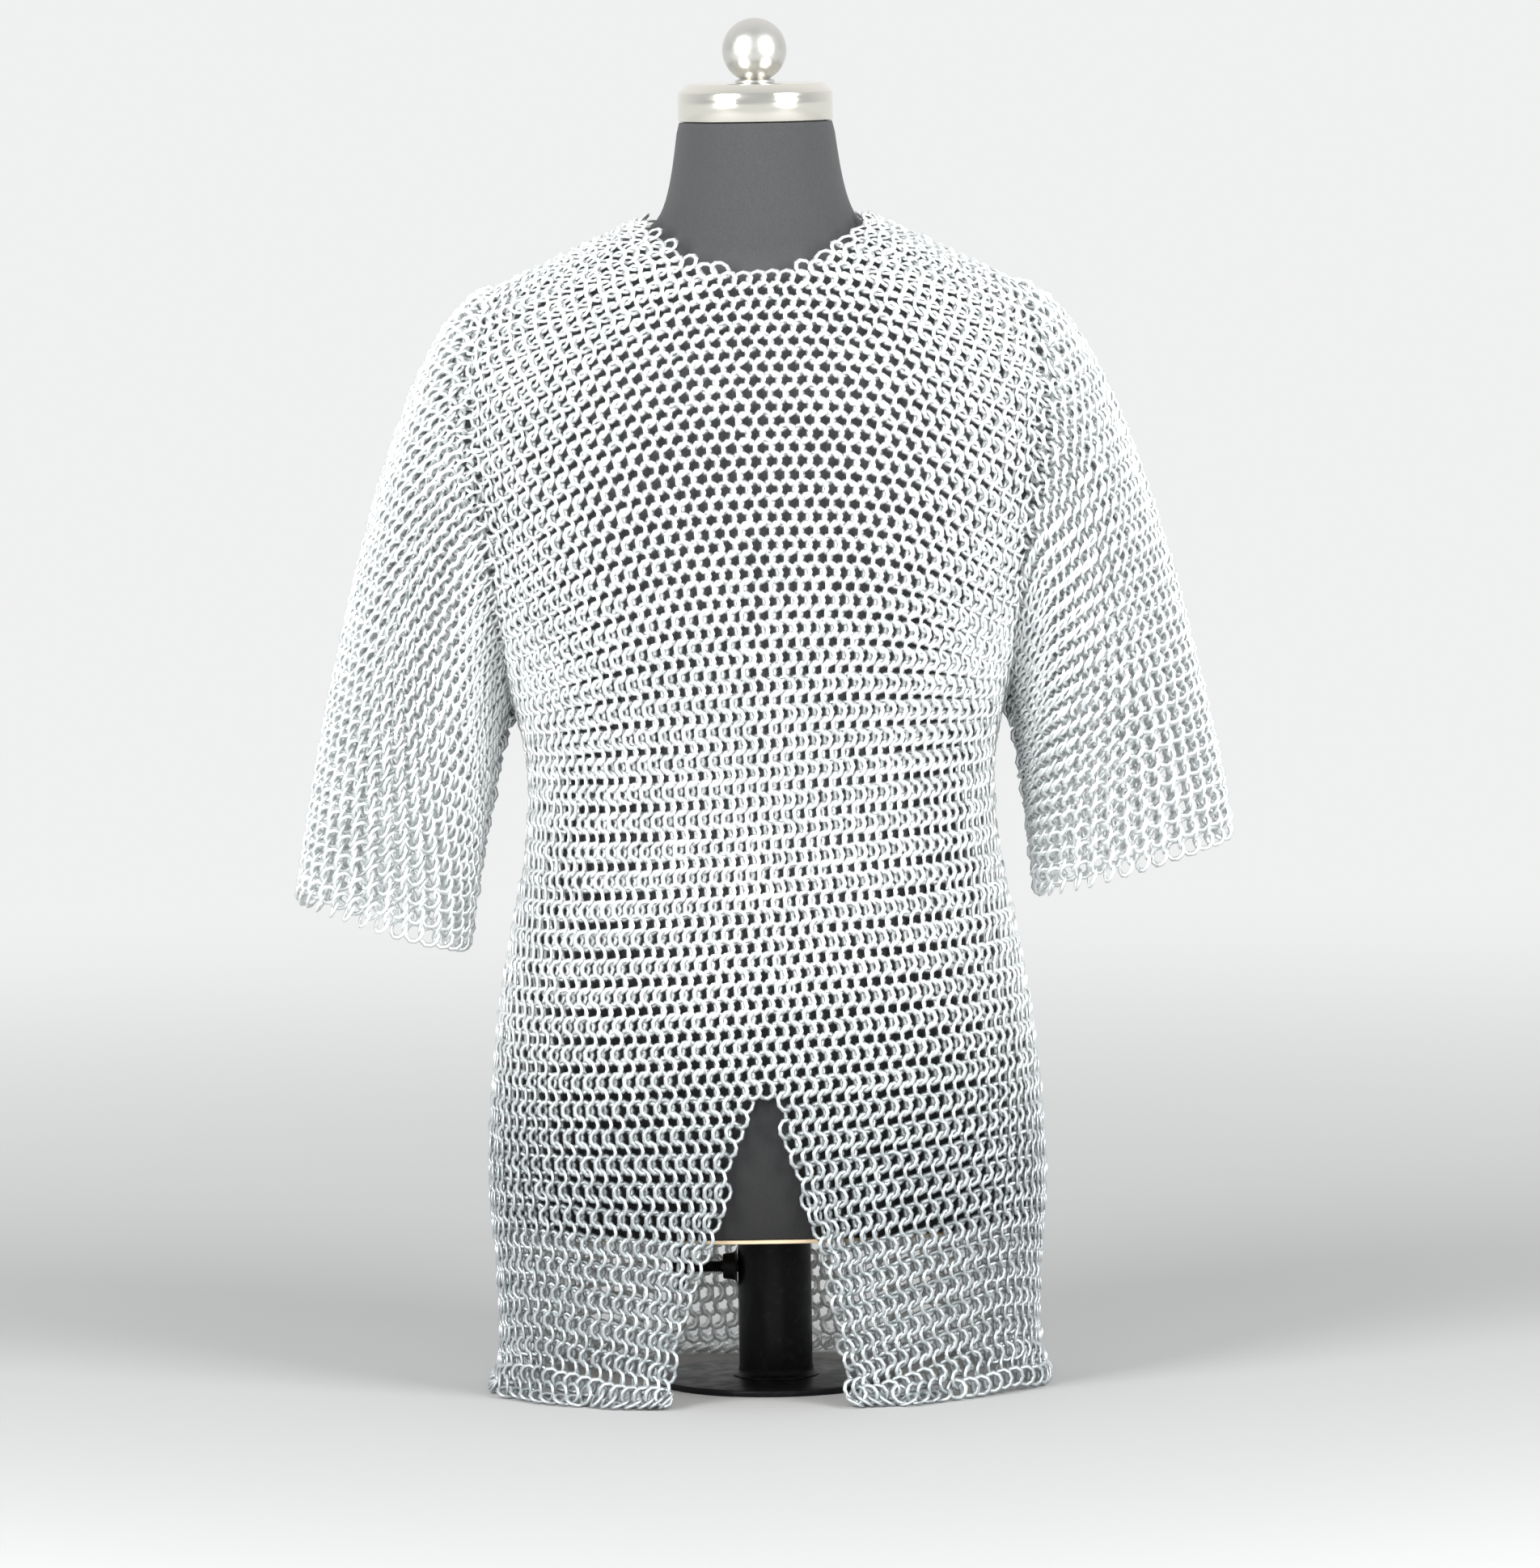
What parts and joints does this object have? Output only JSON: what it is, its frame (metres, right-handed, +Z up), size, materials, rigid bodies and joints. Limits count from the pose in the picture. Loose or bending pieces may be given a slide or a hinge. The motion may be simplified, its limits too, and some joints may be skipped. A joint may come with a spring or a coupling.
{
  "type": "chainmail hauberk on a limbless dress form",
  "caption": "Half-sleeved mail shirt of small linked steel rings with a slit front skirt, worn by a black limbless dress form on a short pipe stand.",
  "frame": {"origin": "centre of the base plate's underside, on the surface that the stand and the hem rest on", "axes": "+Z up the pipe; the chest faces -Y and the wearer's left is +X"},
  "size_m": [0.6124, 0.2656, 0.895],
  "materials": {
    "mail_steel": "bright zinc plate on round wire",
    "form_cloth": "tight black jersey",
    "form_wood": "bare board",
    "nickel": "polished nickel",
    "black_paint": "semi-gloss black"
  },
  "bodies": {
    "dressed_form": {"mail_front": "mail_steel", "mail_back": "mail_steel", "mail_skirt_front_right": "mail_steel", "mail_skirt_front_left": "mail_steel", "mail_skirt_back": "mail_steel", "mail_sleeve_right": "mail_steel", "mail_sleeve_left": "mail_steel", "form_torso": "form_cloth", "form_board": "form_wood", "neck_cap": "nickel", "finial_ball": "nickel", "stand_pole": "black_paint", "form_rod": "black_paint", "stand_collar": "black_paint", "stand_base": "black_paint", "clamp_boss": "black_paint"},
    "clamp": {"clamp_screw": "black_paint"}
  },
  "joints": [
    {"name": "clamp_screw_turn", "type": "hinge", "parent": "dressed_form", "child": "clamp", "pos_m": [-0.062, 0, 0.076], "axis": [-1, 0, 0], "range_deg": [0, 450]}
  ]
}
